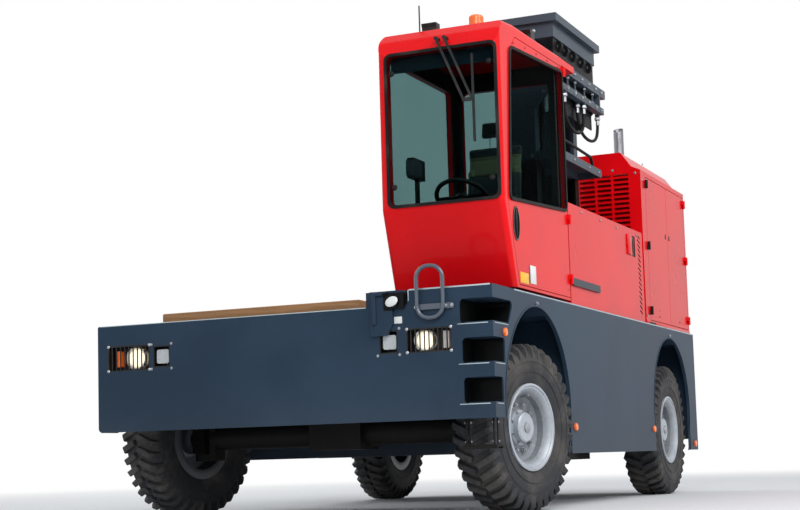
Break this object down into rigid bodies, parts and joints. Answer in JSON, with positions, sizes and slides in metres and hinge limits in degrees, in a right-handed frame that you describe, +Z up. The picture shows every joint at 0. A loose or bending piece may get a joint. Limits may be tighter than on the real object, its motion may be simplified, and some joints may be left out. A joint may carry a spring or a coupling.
{
  "type": "side loader forklift",
  "caption": "Side loading forklift truck with a hinged-door cab, a mast that reaches and lifts in a transverse well, load platforms and steered front wheels.",
  "frame": {"origin": "centre of the plan outline, on the ground", "axes": "+Z up; the truck drives towards -Y; the cab is on the +X side and the load platforms and the well's open side on -X"},
  "size_m": [3.1098, 5.5118, 3.753],
  "materials": {
    "chassis_paint": "satin",
    "red_paint": "gloss",
    "mast_paint": "satin",
    "rim_paint": "satin",
    "tyre": "matte",
    "glass": "clear",
    "lens": "clear",
    "amber": "clear",
    "black_plastic": "matte",
    "black_paint": "satin",
    "chrome": "polished",
    "steel": "worn",
    "wood": "sawn",
    "fabric": "woven",
    "rubber": "matte",
    "cast": "rough"
  },
  "bodies": {
    "chassis": {"chassis_frame": "chassis_paint", "mast_rails": "mast_paint", "front_plate": "chassis_paint", "corner_steps": "chassis_paint", "side_skirts": "chassis_paint", "rear_plate": "chassis_paint", "load_decks": "chassis_paint", "deck_timbers": "wood", "headlamp_housings": "black_plastic", "lamp_lenses": "lens", "hanging_step": "black_paint", "grab_rail": "chassis_paint", "mirror_bracket": "chassis_paint", "signal_lamps": "amber", "cab_frame": "red_paint", "cab_roof": "red_paint", "cab_glass": "glass", "seat": "fabric", "cab_controls": "black_plastic", "roof_fittings": "black_plastic", "side_panel": "red_paint", "hood_shell": "red_paint", "engine_block": "cast", "exhaust_stack": "steel", "front_axle": "black_paint", "rear_axle": "black_paint"},
    "mast_outer": {"mast_outer": "mast_paint", "mast_hoses": "rubber"},
    "mast_inner": {"mast_inner": "mast_paint", "lift_rods": "chrome"},
    "fork_carriage": {"fork_carriage": "black_paint"},
    "cab_door": {"cab_door": "red_paint", "door_glass": "glass"},
    "hood_door_front": {"hood_door_front": "red_paint"},
    "hood_door_rear": {"hood_door_rear": "red_paint"},
    "knuckle_left": {"knuckle_left": "black_paint"},
    "knuckle_right": {"knuckle_right": "black_paint"},
    "wheel_front_left": {"tyre_front_left": "tyre", "rim_front_left": "rim_paint"},
    "wheel_front_right": {"tyre_front_right": "tyre", "rim_front_right": "rim_paint"},
    "wheel_rear_left": {"tyre_rear_left": "tyre", "rim_rear_left": "rim_paint"},
    "wheel_rear_right": {"tyre_rear_right": "tyre", "rim_rear_right": "rim_paint"}
  },
  "joints": [
    {"name": "mast_reach", "type": "slide", "parent": "chassis", "child": "mast_outer", "axis": [-1, 0, 0], "range_m": [0, 1.45]},
    {"name": "mast_lift", "type": "slide", "parent": "mast_outer", "child": "mast_inner", "axis": [0, 0, 1], "range_m": [0, 1.9]},
    {"name": "carriage_lift", "type": "slide", "parent": "mast_inner", "child": "fork_carriage", "axis": [0, 0, 1], "range_m": [-1.1, 1.5]},
    {"name": "cab_door_hinge", "type": "hinge", "parent": "chassis", "child": "cab_door", "pos_m": [1.459, -0.99, 2.3], "axis": [0, 0, 1], "range_deg": [0, 90]},
    {"name": "hood_door_front_hinge", "type": "hinge", "parent": "chassis", "child": "hood_door_front", "pos_m": [1.459, 1.262, 2.1], "axis": [0, 0, -1], "range_deg": [0, 100]},
    {"name": "hood_door_rear_hinge", "type": "hinge", "parent": "chassis", "child": "hood_door_rear", "pos_m": [1.459, 2.6, 2.1], "axis": [0, 0, 1], "range_deg": [0, 100]},
    {"name": "steer_left", "type": "hinge", "parent": "chassis", "child": "knuckle_left", "pos_m": [1.15, -1.855, 0.562], "axis": [0, 0, 1], "range_deg": [-23, 47]},
    {"name": "steer_right", "type": "hinge", "parent": "chassis", "child": "knuckle_right", "pos_m": [-1.15, -1.855, 0.562], "axis": [0, 0, 1], "range_deg": [-23, 47]},
    {"name": "spin_front_left", "type": "hinge", "parent": "knuckle_left", "child": "wheel_front_left", "pos_m": [1.29183, -1.88515, 0.562], "axis": [0.9781, -0.2079, 0], "continuous": true},
    {"name": "spin_rear_left", "type": "hinge", "parent": "chassis", "child": "wheel_rear_left", "pos_m": [1.295, 1.755, 0.562], "axis": [1, 0, 0], "continuous": true},
    {"name": "spin_front_right", "type": "hinge", "parent": "knuckle_right", "child": "wheel_front_right", "pos_m": [-1.29183, -1.82485, 0.562], "axis": [0.9781, -0.2079, 0], "continuous": true},
    {"name": "spin_rear_right", "type": "hinge", "parent": "chassis", "child": "wheel_rear_right", "pos_m": [-1.295, 1.755, 0.562], "axis": [1, 0, 0], "continuous": true}
  ],
  "couplings": [
    {"joint": "steer_right", "follows": "steer_left", "ratio": 1}
  ]
}
